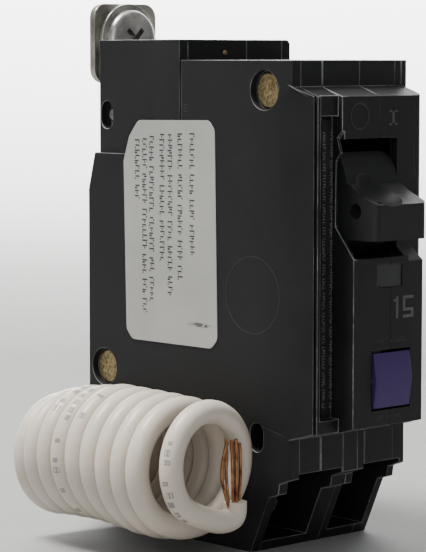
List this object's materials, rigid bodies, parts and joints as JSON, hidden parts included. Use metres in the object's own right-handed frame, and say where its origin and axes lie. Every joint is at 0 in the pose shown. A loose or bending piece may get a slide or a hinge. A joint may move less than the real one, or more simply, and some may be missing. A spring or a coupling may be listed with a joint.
{
  "type": "ground-fault circuit breaker",
  "caption": "Bolt-on single-pole ground-fault breaker: layered moulded case, toggle handle, test rocker, bolt tab, box lugs and a coiled white neutral pigtail.",
  "frame": {"origin": "middle of the case's width on the flat load-end face that it stands on, 27.0 mm behind the front shoulder", "axes": "+Z towards the line end with the bolt tab, -Y the front with the handle, +X across the width away from the label side"},
  "size_m": [0.048, 0.0703, 0.0851],
  "materials": {
    "case_plastic": "fine matte moulded thermoset, charcoal",
    "handle_plastic": "smooth moulded nylon, near black",
    "label_paper": "printed off-white label",
    "strip_paper": "dark printed strip",
    "rivet_brass": "drawn brass, slightly tarnished",
    "button_plastic": "dark violet moulded plastic",
    "window_plastic": "grey translucent light pipe",
    "zinc_steel": "zinc-plated steel",
    "tinned_copper": "tin-plated copper strap",
    "soft_iron": "plain soft iron",
    "silver_contact": "silver alloy contact",
    "copper": "bare copper",
    "spring_steel": "spring steel",
    "fibre": "vulcanised fibre",
    "board_laminate": "green glass-fibre laminate",
    "component_plastic": "moulded component bodies",
    "ferrite": "taped ring cores",
    "lug_aluminium": "tin-plated aluminium lug",
    "wire_insulation": "off-white PVC insulation",
    "gland_rubber": "black rubber bush"
  },
  "bodies": {
    "case": {"label_side_cover": "case_plastic", "line_end_cover": "case_plastic", "electronics_housing": "case_plastic", "mechanism_frame": "case_plastic", "handle_side_cover": "case_plastic", "side_label": "label_paper", "rating_strip": "strip_paper", "case_rivets": "rivet_brass", "indicator_window": "window_plastic", "handle_pin": "zinc_steel", "contact_arm_pin": "zinc_steel", "fixed_contact": "silver_contact", "trip_lever_pin": "zinc_steel", "bimetal": "spring_steel", "magnet_yoke": "soft_iron", "flexible_braid": "copper", "test_contact": "spring_steel", "arc_plates": "soft_iron", "arc_chute_sides": "fibre", "mechanism_spring": "spring_steel", "line_terminal": "tinned_copper", "strap_pin": "zinc_steel", "bolt_washer": "zinc_steel", "load_lug": "lug_aluminium", "neutral_lug": "lug_aluminium", "load_strap": "tinned_copper", "neutral_strap": "tinned_copper", "circuit_board": "board_laminate", "sensing_transformer": "ferrite", "neutral_transformer": "ferrite", "board_components": "component_plastic", "solenoid_frame": "soft_iron", "solenoid_coil": "copper", "plunger_spring": "spring_steel", "pigtail_gland": "gland_rubber", "pigtail_lead": "wire_insulation", "pigtail_coil": "wire_insulation", "pigtail_strands": "copper", "rail_clip": "spring_steel"},
    "handle": {"handle": "handle_plastic"},
    "contact_arm": {"contact_arm": "copper", "moving_contact": "silver_contact"},
    "test_button": {"test_button": "button_plastic"},
    "solenoid_plunger": {"solenoid_plunger": "soft_iron"},
    "armature": {"armature": "soft_iron"},
    "trip_lever": {"trip_lever": "soft_iron"},
    "bolt_screw": {"bolt_screw": "zinc_steel"},
    "load_screw": {"load_screw": "zinc_steel"},
    "neutral_screw": {"neutral_screw": "zinc_steel"}
  },
  "joints": [
    {"name": "handle_pivot", "type": "hinge", "parent": "case", "child": "handle", "pos_m": [0, -0.019, 0.0547], "axis": [-1, 0, 0], "range_deg": [-5, 27]},
    {"name": "contact_arm_pivot", "type": "hinge", "parent": "case", "child": "contact_arm", "pos_m": [0.0075, -0.0125, 0.049], "axis": [-1, 0, 0], "range_deg": [-2.3, 12.1]},
    {"name": "test_button_rock", "type": "hinge", "parent": "case", "child": "test_button", "pos_m": [0.00205, -0.03305, 0.02725], "axis": [1, 0, 0], "range_deg": [-5, 5], "stiffness_Nm_per_rad": 0.05},
    {"name": "solenoid_stroke", "type": "slide", "parent": "case", "child": "solenoid_plunger", "axis": [0, 0, -1], "range_m": [0, 0.003], "stiffness_N_per_m": 300, "deforming": ["plunger_spring"]},
    {"name": "armature_swing", "type": "hinge", "parent": "case", "child": "armature", "pos_m": [0.0064, 0.0051, 0.019], "axis": [1, 0, 0], "range_deg": [0, 4.5], "stiffness_Nm_per_rad": 0.02},
    {"name": "trip_lever_pivot", "type": "hinge", "parent": "case", "child": "trip_lever", "pos_m": [0.0037, 0.009, 0.049], "axis": [1, 0, 0], "range_deg": [0, 12.1]},
    {"name": "bolt_turn", "type": "hinge", "parent": "case", "child": "bolt_screw", "pos_m": [0, 0.025, 0.0792], "axis": [0, 1, 0], "continuous": true},
    {"name": "load_screw_turn", "type": "hinge", "parent": "case", "child": "load_screw", "pos_m": [0.0075, -0.0125, 0.0072], "axis": [0, 1, 0], "continuous": true},
    {"name": "neutral_screw_turn", "type": "hinge", "parent": "case", "child": "neutral_screw", "pos_m": [-0.0064, -0.0125, 0.0072], "axis": [0, 1, 0], "continuous": true}
  ],
  "couplings": [
    {"joint": "contact_arm_pivot", "follows": "handle_pivot", "ratio": 0.4444},
    {"joint": "trip_lever_pivot", "follows": "armature_swing", "ratio": 2.6667}
  ]
}
